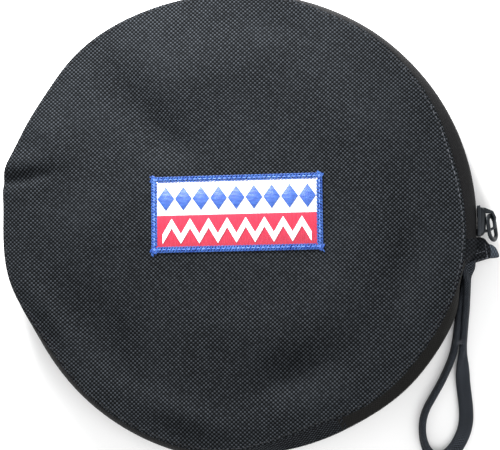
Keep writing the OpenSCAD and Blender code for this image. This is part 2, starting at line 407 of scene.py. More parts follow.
# The same cloth, folded over the zip's end, drawn with weaker painted highlights on its crowns
# and less dark holes, so that fewer beads stand out.
tab_cloth_low_contrast = woven(
    "ballistic_polyester_cloth_low_contrast", (1.81, 1.67), colour("#060709"), colour("#26292D"),
    drift=1.2, bump_mm=0.18, rough=0.75, sheen=0.01,
)
# The tape's end that shows at the tab's tip is coated and catches the light: it is drawn much
# lighter than the rest of the tape, a painted highlight.
tape_end_painted_highlight = woven(
    "coated_polyester_tape_end_painted_highlight", (1.1, 2.2), colour("#252A30"), colour("#485059"),
    drift=0.3, bump_mm=0.04, rough=0.5, sheen=0.03, slow=0.25,
)
# Zip tape is a close, smooth twill: its ribs are 0.5 mm apart, drawn at 0.9 mm to show at all.
zip_tape_cloth = woven(
    "polyester_zip_tape_twill", (0.9, 1.8), colour("#161617"), colour("#1F1F20"),
    drift=0.3, bump_mm=0.05, rough=0.66, sheen=0.02, slow=0.2,
)
# Webbing has a 1.2 mm rib across it, pressed flat and a little shiny.
webbing_cloth = woven(
    "smooth_polyester_webbing", (1.2, 2.4), colour("#131312"), colour("#1B1A19"),
    drift=0.2, bump_mm=0.06, rough=0.6, sheen=0.02, slow=0.25,
)
# Binding is a thin plain-weave tape folded over the raw edges.
binding_cloth = woven(
    "grosgrain_binding_tape", (1.0, 1.0), colour("#0D0D0E"), colour("#1D1D1F"),
    drift=0.2, bump_mm=0.06, rough=0.7, sheen=0.02,
)
print("six woven finishes")

# %% [markdown]
# ## The wrist strap
# The strap is one piece of flat braided polyester cord, 6 mm by 2.9 mm and 178 mm long. It
# comes out below the corner of the end tab, goes down to the table beside the pouch, turns in a
# teardrop and comes back. Each broad face has two ridges with a groove between them. A profile
# pushed along the route gives that, with a twist that turns the strands on edge near the tab. The
# extrude operator makes each new ring of the profile.

# %% The strap's route
STRAP_ROUTE = (
    (95.6, -16.4, 12.6), (95.2, -20.8, 11.6), (95, -25, 9.8), (94.7, -30, 7.6), (94.3, -36, 5.6),
    (93.7, -42, 4), (93.2, -47.4, 3), (92.8, -52.4, 2.6), (92.5, -58, 2.3), (92.5, -65.8, 2),
    (93.1, -72, 2), (93.6, -77.4, 2), (93.6, -82.4, 2), (92.7, -86.8, 2), (91, -90.8, 2),
    (88.9, -94.1, 2), (85.9, -96.8, 2), (82.6, -98, 2), (79.6, -97.3, 2), (77.3, -94.8, 2),
    (75.9, -91, 2), (75.4, -86.7, 2), (75.8, -82.1, 2), (77.3, -77.6, 2), (79.4, -73.8, 2),
    (83.9, -65.8, 2), (87.7, -57.4, 2), (89.5, -51, 2.1), (90.4, -44.8, 2.2), (91.4, -37.3, 3.2),
    (92.6, -30.2, 4.6), (93.7, -24, 6), (94.5, -19.6, 8), (95.2, -17, 10.4),
)
STRAP_W, STRAP_T = 6.0, 2.9
STRAP_STEP = 1.2


def smooth_route(points, step):
    """Evenly spaced points on a smooth curve through the given ones (Catmull-Rom)."""
    points = [Vector(p) for p in points]
    padded = [2 * points[0] - points[1], *points, 2 * points[-1] - points[-2]]
    fine = []
    for a, b, c, d in zip(padded, padded[1:], padded[2:], padded[3:]):
        for k in range(12):
            t = k / 12
            fine.append(
                0.5 * (2 * b + (c - a) * t + (2 * a - 5 * b + 4 * c - d) * t * t
                       + (3 * b - a - 3 * c + d) * t ** 3)
            )
    fine.append(points[-1])
    out, left = [fine[0]], step
    for a, b in zip(fine, fine[1:]):
        gap = (b - a).length
        while gap >= left:
            a = a + (b - a) * (left / gap)
            out.append(a.copy())
            gap, left = (b - a).length, step
        left -= gap
    return out


strap_line = smooth_route(STRAP_ROUTE, STRAP_STEP)
strap_count = len(strap_line)


def strap_twist(share):
    """Turn of the strap's broad face from level, in degrees, by its share of the way round."""
    out_lean = 84 * ease(0.0, 0.05, share) * ease(0.3, 0.2, share) + 10 * ease(0.2, 0.3, share)
    back_lean = 70 * ease(0.42, 0.58, share)
    return (out_lean + back_lean) * ease(1.03, 0.94, share)


# The cord lies on the table and can't sink into it, so its middle stands at half its height there.
for i, point in enumerate(strap_line):
    share = i / (strap_count - 1)
    lean = math.radians(strap_twist(share))
    half_high = (STRAP_W / 2 * abs(math.sin(lean)) + STRAP_T / 2 * math.cos(lean)) * 0.97
    point.z = max(point.z, half_high + 0.05)
print("strap route of", strap_count, "points")

# %% Push the profile along it
STRAP_SIDES = 24
GROOVE_DEPTH, GROOVE_WIDTH = 0.6, 0.7  # a share of the half thickness, and mm
SQUARENESS = 0.72  # 1 is an oval, and less is nearer to a box


def strap_profile(k):
    """One point of the strap's outline: a flattened oval with a groove in each broad face."""
    turn = FULL_TURN * k / STRAP_SIDES - math.pi / 2
    c, s = math.cos(turn), math.sin(turn)
    x = STRAP_W / 2 * math.copysign(abs(c) ** SQUARENESS, c)
    y = STRAP_T / 2 * math.copysign(abs(s) ** SQUARENESS, s)
    return x, y * (1 - GROOVE_DEPTH * math.exp(-((x / GROOVE_WIDTH) ** 2)))


def sweep(line, outline, twist, closed_ends=True):
    """Extrudes an outline of (across, up) points along a line, turned by twist in degrees.

    Returns the bmesh and, for each vertex, its number round the outline and along the line.
    """
    bm = bmesh.new()
    marks = {}
    count, ring, edges = len(line), None, None
    for i, point in enumerate(line):
        ahead = (line[min(i + 1, count - 1)] - line[max(i - 1, 0)]).normalized()
        across = ahead.cross(Vector((0, 0, 1))).normalized()
        up = across.cross(ahead)
        turn = math.radians(twist(i / (count - 1)))
        across, up = (
            across * math.cos(turn) + up * math.sin(turn),
            up * math.cos(turn) - across * math.sin(turn),
        )
        if ring is None:
            ring = [bm.verts.new(point) for _ in outline]
            edges = [bm.edges.new((a, b)) for a, b in zip(ring, ring[1:] + ring[:1])]
            if closed_ends:
                bm.faces.new(ring)
        else:
            made = bmesh.ops.extrude_edge_only(bm, edges=edges)["geom"]
            fresh = set(verts_of(made))
            ring = [
                next(e.other_vert(v) for e in v.link_edges if e.other_vert(v) in fresh)
                for v in ring
            ]
            edges = [bm.edges.get((a, b)) for a, b in zip(ring, ring[1:] + ring[:1])]
        for k, (vert, (x, y)) in enumerate(zip(ring, outline)):
            vert.co = point + across * x + up * y
            marks[vert] = (k, i)
    if closed_ends:
        bm.faces.new(ring)
    bm.verts.index_update()
    return bm, {vert.index: mark for vert, mark in marks.items()}


outline = [strap_profile(k) for k in range(STRAP_SIDES)]
bm, strap_marks = sweep(strap_line, outline, strap_twist)
# The cloth coordinates of the strap are mm along it and mm round it.
STRAP_GIRTH = (STRAP_W + STRAP_T) * 2 * 0.86  # the rounded section is 0.86 of its box around
strap_places = [
    (strap_marks[i][1] * STRAP_STEP, strap_marks[i][0] / STRAP_SIDES * STRAP_GIRTH)
    for i in range(len(bm.verts))
]
# A braid's plaits are about 0.7 mm apart. They are drawn at 1.15 by 0.95 mm so that they show.
braid_cloth = woven(
    "flat_braided_polyester_cord", (1.15, 0.95), colour("#0E1012"), colour("#454A52"),
    drift=0.25, bump_mm=0.12, rough=0.62, sheen=0.04, slow=0.25, fuzz=0.45,
)
strap = finish_piece(
    "wrist_strap_cord", bm, braid_cloth, "base", ["wrist_strap"],
    weave=lambda point, places=iter(strap_places): next(places), sharp=80,
)
strap_length = sum((b - a).length for a, b in zip(strap_line, strap_line[1:])) * MM
print("strap length", round(strap_length, 4), "m")

# %% [markdown]
# ## Thread
# Every seam here is a lockstitch: on the face it shows as a row of short, fat threads with
# their ends pulled down. One squashed sphere for each stitch, all in one mesh, reads as thread
# and stays light. Each stitch gets its own tone, because thread fades and fluffs unevenly.

# %% Rows of stitches


def stitches(places, rings=5, sides=6):
    """One bmesh of stitches. A place is (middle, heading, up, long, wide, high), in mm."""
    bm = bmesh.new()
    for middle, heading, up, long, wide, high in places:
        ahead = heading.normalized()
        side = up.cross(ahead).normalized()
        turn = Matrix((ahead, side, ahead.cross(side))).transposed().to_4x4()
        size = Matrix.Diagonal((long / 2, wide / 2, high / 2, 1))
        bmesh.ops.create_uvsphere(
            bm, u_segments=sides, v_segments=rings, radius=1,
            matrix=Matrix.Translation(middle) @ turn @ size @ Matrix.Rotation(math.pi / 2, 4, "Y"),
        )
    return bm


def toned(tones, rings=5, sides=6):
    """The cloth coordinates of stitches: every point of one stitch has that stitch's tone."""
    points_each = sides * (rings - 1) + 2
    source = (tone for tone in tones for _ in range(points_each))
    return lambda point: (next(source), 0)


def thread(name, dark, light, rough):
    """Twisted thread. Its ply shows as fine ridges, and each stitch has its own stored tone."""
    made, tree, shader = material(name, Specular_IOR_Level=0.2, Sheen_Weight=0.03)
    tone = add(tree, "Attribute", attribute_name="cloth").outputs["Vector"]
    tone = add(tree, "SeparateXYZ", {0: tone}).outputs[0]
    place = add(tree, "TexCoord").outputs["Object"]
    patch = add(tree, "TexNoise", {"Vector": place, "Scale": 900.0, "Detail": 1.0}).outputs[0]
    patch = math_node(tree, "MULTIPLY_ADD", patch, 0.5, -0.25)
    share = math_node(tree, "ADD", tone, patch, use_clamp=True)
    mix = add(tree, "MixRGB", {0: share, 1: dark, 2: light}).outputs[0]
    tree.links.new(mix, shader.inputs["Base Color"])
    ply = add(tree, "TexWave", {"Vector": place, "Scale": 900.0, "Distortion": 1.0})
    bump = add(tree, "Bump", {"Height": ply.outputs["Fac"], "Distance": 0.05 * MM, "Strength": 0.5})
    tree.links.new(bump.outputs[0], shader.inputs["Normal"])
    tree.links.new(math_node(tree, "MULTIPLY_ADD", share, -0.1, rough), shader.inputs["Roughness"])
    return made


black_thread = thread("bonded_nylon_thread_black", colour("#0C0D0F"), colour("#5E6168"), 0.6)
UP = Vector((0, 0, 1))
print("thread is ready")

# %% The bar tack that closes the strap's two strands together
TACK_Y = -50.0
near_tack = [p for p in strap_line if abs(p.y - TACK_Y) < 0.8]
tack_left, tack_right = min(p.x for p in near_tack) - 0.9, max(p.x for p in near_tack) + 0.9
tack_top = max(p.z for p in near_tack) + STRAP_W / 2
dice = random.Random(4)
tack_places = []
for row in range(5):
    mid = Vector(((tack_left + tack_right) / 2, TACK_Y - 0.8 + row * 0.4, tack_top - 0.2))
    mid.x += dice.uniform(-0.25, 0.25)
    ahead = Vector((1, 0.12 * (-1) ** row, 0))
    tack_places.append((mid, ahead, UP, tack_right - tack_left, 0.42, 0.4))
for side in (tack_left, tack_right):
    for row in range(4):
        mid = Vector((side, TACK_Y - 0.8 + row * 0.5, tack_top - 1.5))
        tack_places.append((mid, UP, Vector((1, 0, 0)), 2.6, 0.45, 0.45))
bartack = finish_piece(
    "strap_bartack_stitches", stitches(tack_places), black_thread, "base",
    ["strap_bartack"], toned([dice.uniform(0.1, 0.5) for _ in tack_places]),
)
print("bar tack of", len(tack_places), "threads")

# %% [markdown]
# ## The two panels
# Each panel is a disc of cloth with its raw edge turned under. A square grid eased into a disc
# gives even faces with no pole in the middle, and its edge is then extruded over the fold of
# the hem. The front is moved by the settling function; the back lies flat on the table.

# %% Panels
PANEL_T = 1.4
CLOTH_T = 0.62
# How a hem turns under: mm in from the edge, and mm from the outer face.
HEM = (
    (1.15, 0.0), (0.65, -0.08), (0.25, -0.26), (0.04, -0.5), (0.0, -0.75), (0.08, -1.0),
    (0.35, -1.24), (0.8, -1.36), (1.6, -1.4), (3.4, -1.4),
)
FRONT_R, BACK_R = 97.0, 95.5


def panel(radius, top, grid, side):
    """A disc of cloth whose outer face is at height top. side is 1 for a hem below it, -1 above."""
    bm = bmesh.new()
    bmesh.ops.create_grid(bm, x_segments=grid, y_segments=grid, size=1)
    flat_r = radius - 1.7
    for vert in bm.verts:
        x, y = vert.co.x, vert.co.y
        vert.co = Vector((
            x * math.sqrt(1 - y * y / 2) * flat_r, y * math.sqrt(1 - x * x / 2) * flat_r, top
        ))
    edges = [e for e in bm.edges if e.is_boundary]
    for inset, drop in HEM:
        made = bmesh.ops.extrude_edge_only(bm, edges=edges)["geom"]
        for vert in verts_of(made):
            vert.co = polar(radius - inset, angle_of(vert.co), top + side * drop)
        edges = [e for e in made if isinstance(e, bmesh.types.BMEdge) and e.is_boundary]
    return bm


bm = panel(FRONT_R, POUCH_H, 120, 1)
settle_all(bm)
bmesh.ops.recalc_face_normals(bm, faces=bm.faces[:])
bmesh.ops.solidify(bm, geom=bm.faces[:], thickness=CLOTH_T)
front = finish_piece(
    "front_panel_cloth", bm, ballistic, "fold",
    ["front_panel", "front_panel_heel"], sharp=80,
)
bm = panel(BACK_R, 0.0, 90, -1)
bmesh.ops.recalc_face_normals(bm, faces=bm.faces[:])
bmesh.ops.solidify(bm, geom=bm.faces[:], thickness=CLOTH_T)
back = finish_piece(
    "back_panel_cloth", bm, ballistic, "base", ["back_panel"], sharp=80
)
heights = [v.co.z / MM for v in front.data.vertices]
print("front panel from", round(min(heights), 2), "to", round(max(heights), 2), "mm high")

# %% [markdown]
# ## The wall
# The wall is made of narrow strips that run round the pouch: zip tape above and below the coil,
# and at the hinge side smooth webbing with a short patch of the main cloth. A strip's section is a
# few points, spun about the middle of the pouch, settled, and given its thickness.

# %% Strips round the wall
STRIP_STEP = 1.25


def strip(profile, start, stop, thickness):
    """Spins a line of (radius, height) points from one angle to another and thickens it."""
    bm = bmesh.new()
    line = [bm.verts.new(polar(radius, start, height)) for radius, height in profile]
    edges = [bm.edges.new(pair) for pair in zip(line, line[1:])]
    bmesh.ops.spin(
        bm, geom=line + edges, cent=(0, 0, 0), axis=(0, 0, 1), angle=math.radians(stop - start),
        steps=round((stop - start) / STRIP_STEP),
    )
    bmesh.ops.remove_doubles(bm, verts=bm.verts[:], dist=1e-4)
    settle_all(bm)
    bmesh.ops.recalc_face_normals(bm, faces=bm.faces[:])
    if sum(face.normal.xy.dot(face.calc_center_median().xy) for face in bm.faces) < 0:
        bmesh.ops.reverse_faces(bm, faces=bm.faces[:])
    bmesh.ops.solidify(bm, geom=bm.faces[:], thickness=thickness)
    return bm


print("a strip is spun in steps of", STRIP_STEP, "degrees")

# %% Zip tapes, webbing, patch and the cover of the zip's open end
# Where each begins and ends, in degrees round the pouch.
ZIP_FROM, ZIP_TO, PATCH_FROM, WEBBING_FROM, SPINE_TO = -4.7, 260.0, 264.0, 298.0, 349.8
TAPE_T, SPINE_T = 0.6, 1.0
front_tape_line = (
    (99.2, 12.3), (99.2, 15), (99.15, 16.8), (98.85, 18.6), (98.3, 20.2), (97.5, 21.6),
    (96.3, 22.7), (95, 22.9),
)
tape_front = finish_piece(
    "zip_tape_front_cloth", strip(front_tape_line, ZIP_FROM, ZIP_TO, TAPE_T), zip_tape_cloth,
    "fold", ["zip_tape_front", "zip_tape_front_ends"], wall_weave(ZIP_FROM),
)
back_tape_line = ((93.4, 1.35), (95, 1.5), (96.6, 3), (98, 5.2), (99, 7.2), (99.2, 9), (99.2, 11.7))
tape_back = finish_piece(
    "zip_tape_back_cloth", strip(back_tape_line, ZIP_FROM, ZIP_TO, TAPE_T), zip_tape_cloth,
    "base", ["zip_tape_back"], wall_weave(ZIP_FROM),
)
spine_line = (
    (94.2, 1.35), (95.6, 2.2), (96.3, 4.2), (96.8, 7), (96.8, 12), (96.8, 16), (96.7, 19),
    (96.2, 21.4), (95.2, 22.8),
)
# The webbing's end is tucked under the patch, which is thicker for the overlap.
webbing = finish_piece(
    "spine_webbing_cloth", strip(spine_line, WEBBING_FROM - 1.5, SPINE_TO, SPINE_T), webbing_cloth,
    "base", ["spine_webbing"], wall_weave(WEBBING_FROM),
)
patch = finish_piece(
    "spine_patch_cloth", strip(spine_line, PATCH_FROM, WEBBING_FROM, SPINE_T * 1.3), ballistic,
    "base", ["spine_patch"], wall_weave(PATCH_FROM),
)
end_line = (
    (94.6, 1.4), (96.6, 3), (98.6, 5.4), (99.6, 7.4), (99.75, 12), (99.6, 16.6), (98.6, 19.4),
    (96.9, 22.6),
)
finish_piece(
    "zip_far_end_cloth", strip(end_line, ZIP_TO - 0.3, PATCH_FROM + 0.3, 0.9), ballistic,
    "base", ["zip_end_patch"], wall_weave(ZIP_TO),
)
print("the zip is", round(math.radians(ZIP_TO - ZIP_FROM) * 98.6), "mm long")

# %% Binding on the raw edges inside
BIND_W, BIND_H, BIND_IN = 1.6, 2.0, 3.0  # its width, height and distance in from the edge


def binding(radius, low):
    """A tape folded over a raw edge, from its inner radius and the height of its lower side."""
    corners = (
        (radius, low), (radius + BIND_W * 0.3, low - 0.1), (radius + BIND_W, low + 0.3),
        (radius + BIND_W, low + BIND_H - 0.2), (radius + BIND_W * 0.3, low + BIND_H),
    )
    bm = bmesh.new()
    line = [bm.verts.new(polar(r, 0, z)) for r, z in corners]
    edges = [bm.edges.new(pair) for pair in zip(line, line[1:] + line[:1])]
    bmesh.ops.spin(
        bm, geom=line + edges, cent=(0, 0, 0), axis=(0, 0, 1), angle=FULL_TURN, steps=240,
        use_merge=True,
    )
    settle_all(bm)
    return bm


finish_piece(
    "seam_binding_front_tape", binding(FRONT_R - BIND_IN - BIND_W, POUCH_H - PANEL_T - BIND_H),
    binding_cloth, "fold", ["seam_binding_front", "seam_binding_front_heel"],
    wall_weave(0),
)
finish_piece(
    "seam_binding_back_tape", binding(BACK_R - BIND_IN - BIND_W, PANEL_T), binding_cloth,
    "base", ["seam_binding_back"], wall_weave(0),
)
print("both raw edges are bound")

# %% [markdown]
# ## The zip's coils
# A coil zip's teeth are one nylon monofilament, wound in a flattened spiral and sewn to the
# tape's edge. Drawn as the real thing: a line that winds as it goes round the pouch, with a round
# bevel. The two coils are half a turn apart, so that their heads mesh.

# %% Coils
COIL_PITCH = 1.5
COIL_R = 97.7
COIL_STEPS = 10  # points to a turn
coil_nylon, tree, shader = material("nylon_monofilament", Specular_IOR_Level=0.5)
place = add(tree, "TexCoord").outputs["Object"]
scuff = add(tree, "TexNoise", {"Vector": place, "Scale": 300.0, "Detail": 2.0}).outputs[0]
nylon = add(tree, "MixRGB", {0: scuff, 1: colour("#0C0C0E"), 2: colour("#1B1C1F")}).outputs[0]
tree.links.new(nylon, shader.inputs["Base Color"])
tree.links.new(math_node(tree, "MULTIPLY_ADD", scuff, 0.25, 0.25), shader.inputs["Roughness"])


def coil(name, heads, tails, shift, body, replaced):
    """A spiral whose heads (at the zip's middle) and tails are at these heights, in mm."""
    turns = int(math.radians(ZIP_TO - ZIP_FROM) * COIL_R / COIL_PITCH) - 1
    steps = turns * COIL_STEPS
    middle, reach = (heads + tails) / 2, (heads - tails) / 2
    curve = bpy.data.curves.new(name, "CURVE")
    curve.dimensions = "3D"
    curve.bevel_depth, curve.bevel_resolution = 0.29 * MM, 1
    spline = curve.splines.new("POLY")
    spline.points.add(steps)
    for i, point in enumerate(spline.points):
        turn = FULL_TURN * (i / COIL_STEPS + shift)
        along = ZIP_FROM + (ZIP_TO - ZIP_FROM) * (0.5 + i) / (steps + 1)
        out = COIL_R + 0.58 * math.sin(turn)
        height = middle + reach * max(min(1.25 * math.cos(turn), 1), -1)
        point.co = (*(polar(out, along, height) * MM), 1)
    loose = bpy.data.objects.new(name, curve)
    mesh = bpy.data.meshes.new_from_object(loose)
    bpy.data.objects.remove(loose)
    bm = bmesh.new()
    bm.from_mesh(mesh)
    bmesh.ops.scale(bm, vec=(1000, 1000, 1000), verts=bm.verts[:])
    return finish_piece(name, bm, coil_nylon, body, replaced, sharp=80, turn=False)


coil("zip_coil_front_spiral", 12.05, 14.85, 0.0, "fold", ["zip_coil_front", "zip_coil_front_ends"])
coil("zip_coil_back_spiral", 11.95, 9.15, 0.5, "base", ["zip_coil_back"])

# %% Rows of stitches round the pouch


def stitch_ring(name, radius, height, pitch, size, tone, body, replaced):
    """Stitches on a circle, settled with the cloth. tone takes an angle and a die."""
    count = round(FULL_TURN * radius / pitch)
    places, tones = [], []
    dice = random.Random(round(radius * 10))
    for i in range(count):
        degrees = 360 * i / count
        middle = settle(polar(radius + dice.uniform(-0.08, 0.08), degrees, height))
        before, after = (settle(polar(radius, degrees + step, height)) for step in (-0.5, 0.5))
        places.append((middle, after - before, UP, *size))
        tones.append(tone(degrees, dice))
    return finish_piece(
        name, stitches(places), black_thread, body, replaced, toned(tones)
    )


def paler_beside_slider(degrees, dice):
    """The stitches near the slider are drawn paler; the rest are nearly black."""
    near_slider = hill(degrees, 12, 26)
    return 0.05 + dice.uniform(0.0, 0.75) * near_slider


stitch_ring(
    "front_topstitch_thread", 95.8, 23.95, 2.5, (1.7, 0.6, 0.5), paler_beside_slider, "fold",
    ["front_topstitch", "front_topstitch_heel"],
)
stitch_ring(
    "back_topstitch_thread", 93.15, 1.5, 2.5, (1.9, 0.55, 0.4),
    lambda degrees, dice: dice.uniform(0.1, 0.4), "base", ["back_topstitch"],
)

# %% [markdown]
# ## The tab at the zip's closed end
# The zip's end is wrapped in a folded piece of the main cloth, which stands out from the wall as a
# small flat tab. Its outline is cut, thickened, rounded on every edge and left a little
# crooked. The strap's ends are sewn in at its lower corner. At its tip the smooth zip tape
# comes out of the fold.

# %% The tab
TAB_LOW, TAB_HIGH = 10.8, 13.2


def slab(outline, low, high, round_by, segments=3):
    """A flat shape with rounded edges, from its outline in mm."""
    bm = bmesh.new()
    face = bm.faces.new([bm.verts.new((x, y, low)) for x, y in outline])
    for vert in verts_of(bmesh.ops.extrude_face_region(bm, geom=[face])["geom"]):
        vert.co.z = high
    bmesh.ops.recalc_face_normals(bm, faces=bm.faces[:])
    bmesh.ops.bevel(
        bm, geom=bm.edges[:], offset=round_by, offset_type="OFFSET", segments=segments,
        profile=0.5, affect="EDGES", material=-1, clamp_overlap=True,
    )
    return bm


tab_outline = (
    (96.2, -6.6), (100.6, -6.6), (102.4, -7.2), (103.6, -8.9), (104.5, -9.8), (104.9, -12.5),
    (104.7, -15.4), (103, -15.8), (100, -16.7), (96, -17.9),
)
bm = slab(tab_outline, TAB_LOW, TAB_HIGH, 0.75)
# The cloth that the tab grows from covers the wall. It draws in towards the webbing at its end.
cover_line = (
    (96.4, 3.4), (98.4, 5.4), (99.7, 7.6), (99.95, 12), (99.8, 16.2), (99.2, 18.4), (98.4, 20),
    (97.2, 21.6), (95.8, 22.6), (94.4, 22.8),
)
DRAW_IN = 0.028
tab_cover = strip(cover_line, SPINE_TO - 360 - 1.2, ZIP_FROM + 0.3, 0.9)
for vert in tab_cover.verts:
    vert.co.xy *= 1 - DRAW_IN * ease(-7.5, -11, angle_of(vert.co))
join(bm, tab_cover)
finish_piece(
    "zip_end_tab_cloth", bm, tab_cloth_low_contrast, "base", ["zip_end_tab"], sharp=50
)
tip_outline = (
    (103.6, -9.5), (105.3, -9.7), (107, -11.1), (108, -13.4), (108.3, -15), (106.4, -15.4),
    (103.6, -15.5),
)
# The tip's light colour is a painted highlight on the tape's end.
finish_piece(
    "zip_end_tab_tip", slab(tip_outline, TAB_LOW + 0.3, TAB_HIGH - 0.3, 0.6), tape_end_painted_highlight,
    "base", sharp=50,
)
tab_places = []
# Each row of stitches has a start, a heading, a number of stitches and a pitch in mm.
for x, y, heading, count, pitch in (
    (102.6, -10, (0.15, -1, 0), 4, 1.55), (97.4, -13.9, (1, 0.28, 0), 4, 1.5),
    (98, -9.6, (0.5, -1, 0), 3, 1.5), (98.2, -16.6, (1, 0.25, 0), 4, 1.7),
):
    ahead = Vector(heading).normalized()
    for i in range(count):
        mid = Vector((x, y, TAB_HIGH + 0.02)) + ahead * i * pitch
        tab_places.append((mid, ahead, UP, 1.35, 0.42, 0.35))
finish_piece(
    "zip_end_tab_thread", stitches(tab_places), black_thread, "base",
    ["tab_stitching"], toned([dice.uniform(0.3, 0.9) for _ in tab_places]),
)

# %% [markdown]
# ## The label
# A woven label, 72.4 mm by 32 mm: an upper field and a lower field of satin weave, edged with
# an overlocked border of blue rayon, and sewn down along the border's middle. Its fields carry a
# plain geometric trim, lozenges above and a zigzag below, each raised a little as satin
# stitching is.

# %% Label finishes


def satin(name, dark, light, thread_mm=0.55, rough=0.42, heading=90, spread=1.0):
    """Rayon laid in parallel threads. Real ones are 0.25 mm apart; drawn at 0.55 mm to show."""
    made, tree, shader = material(name, Specular_IOR_Level=0.4, Sheen_Weight=0.1)
    place = add(tree, "Attribute", attribute_name="cloth").outputs["Vector"]
    turned = add(
        tree, "Mapping", {"Vector": place, "Rotation": (0, 0, math.radians(heading))}
    ).outputs[0]
    across = add(tree, "SeparateXYZ", {0: turned}).outputs
    line = math_node(tree, "SINE", math_node(tree, "MULTIPLY", across[0], FULL_TURN / thread_mm))
    squeezed = add(
        tree, "VectorMath", {0: turned, 1: (2.2, 0.35, 1)}, operation="MULTIPLY"
    ).outputs[0]
    streak = add(tree, "TexNoise", {"Vector": squeezed, "Scale": 1.0, "Detail": 2.0}).outputs[0]
    share = add(
        tree, "MapRange", {0: streak, 1: 0.5 - spread / 4, 2: 0.5 + spread / 4, 3: 0.0, 4: 1.0}
    ).outputs[0]
    # Each thread's ridge lightens its crown and darkens its groove by up to 0.12: painted highlight
    # and painted shade.
    share = math_node(tree, "MULTIPLY_ADD", line, 0.12, share, use_clamp=True)
    mix = add(tree, "MixRGB", {0: share, 1: dark, 2: light}).outputs[0]
    tree.links.new(mix, shader.inputs["Base Color"])
    bump = add(tree, "Bump", {"Height": line, "Distance": 0.05 * MM, "Strength": 0.7})
    tree.links.new(bump.outputs[0], shader.inputs["Normal"])
    tree.links.new(math_node(tree, "MULTIPLY_ADD", share, -0.08, rough), shader.inputs["Roughness"])
    return made


border_rayon = thread("overlock_rayon_blue", colour("#183682"), colour("#385C9E"), 0.4)
ribbon_blue = satin("label_border_ground_blue", colour("#1E3E8E"), colour("#3056A2"))
white_satin = satin("label_satin_white", colour("#E4E6EC"), colour("#FCFCFD"), heading=0)
red_satin = satin("label_satin_red", colour("#A41A34"), colour("#BC2E48"), heading=0)
blue_satin = satin("label_trim_blue", colour("#173B92"), colour("#3D68B6"), heading=90)
white_trim = satin("label_trim_white", colour("#EDEDF2"), colour("#FFFFFF"), heading=90)
seam_rayon = thread("label_sewing_thread_blue", colour("#2A55B8"), colour("#86A6E8"), 0.4)
print("label finishes are ready")

# %% Label fields and border
BORDER_W, BORDER_T, FIELD_T = 2.4, 0.6, 0.45
FIELD_SPLIT = -0.4


def on_label(bm, lift=0.0):
    """Takes a bmesh from the label's own place to its place on the pouch."""
    turn = Matrix.Rotation(math.radians(LABEL_TURN), 3, "Z")
    bmesh.ops.rotate(bm, verts=bm.verts[:], cent=(0, 0, 0), matrix=turn)
    bmesh.ops.translate(bm, verts=bm.verts[:], vec=LABEL_AT + Vector((0, 0, POUCH_H + lift)))
    return bm


def rect(low_x, low_y, high_x, high_y):
    """The four corners of a rectangle, in order."""
    return (low_x, low_y), (high_x, low_y), (high_x, high_y), (low_x, high_y)


half_x, half_y = LABEL_LONG / 2, LABEL_HIGH / 2
in_x, in_y = half_x - BORDER_W + 0.4, half_y - BORDER_W + 0.4
upper_bm = slab(rect(-in_x, FIELD_SPLIT, in_x, in_y), -0.15, FIELD_T, 0.08, 2)
upper = finish_piece(
    "label_upper_satin", on_label(upper_bm), white_satin, "cover",
    ["label_upper_field"],
)
lower_bm = slab(rect(-in_x, -in_y, in_x, FIELD_SPLIT), -0.15, FIELD_T, 0.08, 2)
lower = finish_piece(
    "label_lower_satin", on_label(lower_bm), red_satin, "cover",
    ["label_lower_field"],
)

# %% The ground of the border: a frame cut from one face, raised and rounded
corners = rect(-half_x, -half_y, half_x, half_y)
bm = bmesh.new()
middle = bm.faces.new([bm.verts.new((x, y, 0)) for x, y in corners])
bmesh.ops.inset_individual(bm, faces=[middle], thickness=BORDER_W)
bmesh.ops.delete(bm, geom=[middle], context="FACES_ONLY")
made = bmesh.ops.extrude_face_region(bm, geom=bm.faces[:])["geom"]
bmesh.ops.translate(bm, verts=verts_of(made), vec=(0, 0, BORDER_T))
bmesh.ops.recalc_face_normals(bm, faces=bm.faces[:])
top_edges = [e for e in bm.edges if all(v.co.z > BORDER_T - 0.01 for v in e.verts)
             and any(abs(f.normal.z) < 0.5 for f in e.link_faces)]
bmesh.ops.bevel(
    bm, geom=top_edges, offset=0.42, offset_type="OFFSET", segments=4, profile=0.5,
    affect="EDGES", material=-1, clamp_overlap=True,
)
finish_piece(
    "label_border_ground", on_label(bm), ribbon_blue, "cover", ["label_border"]
)

# %% Overlock threads over the border, and the row that sews the label down
dice = random.Random(11)
wraps, sewn = [], []
for (x0, y0), (x1, y1) in zip(corners, corners[1:] + corners[:1]):
    start, stop = Vector((x0, y0, 0)), Vector((x1, y1, 0))
    ahead = (stop - start).normalized()
    inward = Vector((-ahead.y, ahead.x, 0))
    length = (stop - start).length
    count = round(length / 1.15)
    for i in range(count + 1):
        slant = ahead * dice.uniform(0.55, 0.8) + inward
        mid = start + ahead * (length * i / count + dice.uniform(-0.1, 0.1))
        mid += inward * (BORDER_W / 2 - 0.05)
        mid.z = BORDER_T - 0.06
        wraps.append((mid, slant, UP, BORDER_W * dice.uniform(1.02, 1.1), 1.0, 0.42))
    for offset, pitch in ((0.15, 1.5), (BORDER_W - 0.15, 1.5)):
        for i in range(int((length - 2 * offset) / pitch)):
            mid = start + ahead * (offset + pitch * (i + 0.5)) + inward * offset
            mid.z = BORDER_T - 0.2
            wraps.append((mid, ahead + inward * 0.15, UP, pitch * 1.2, 0.6, 0.6))
    for i in range(int(length / 2.1)):
        mid = start + ahead * (1.2 + 2.1 * i) + inward * BORDER_W / 2
        mid.z = BORDER_T + 0.12
        sewn.append((mid, ahead, UP, 1.5, 0.42, 0.34))
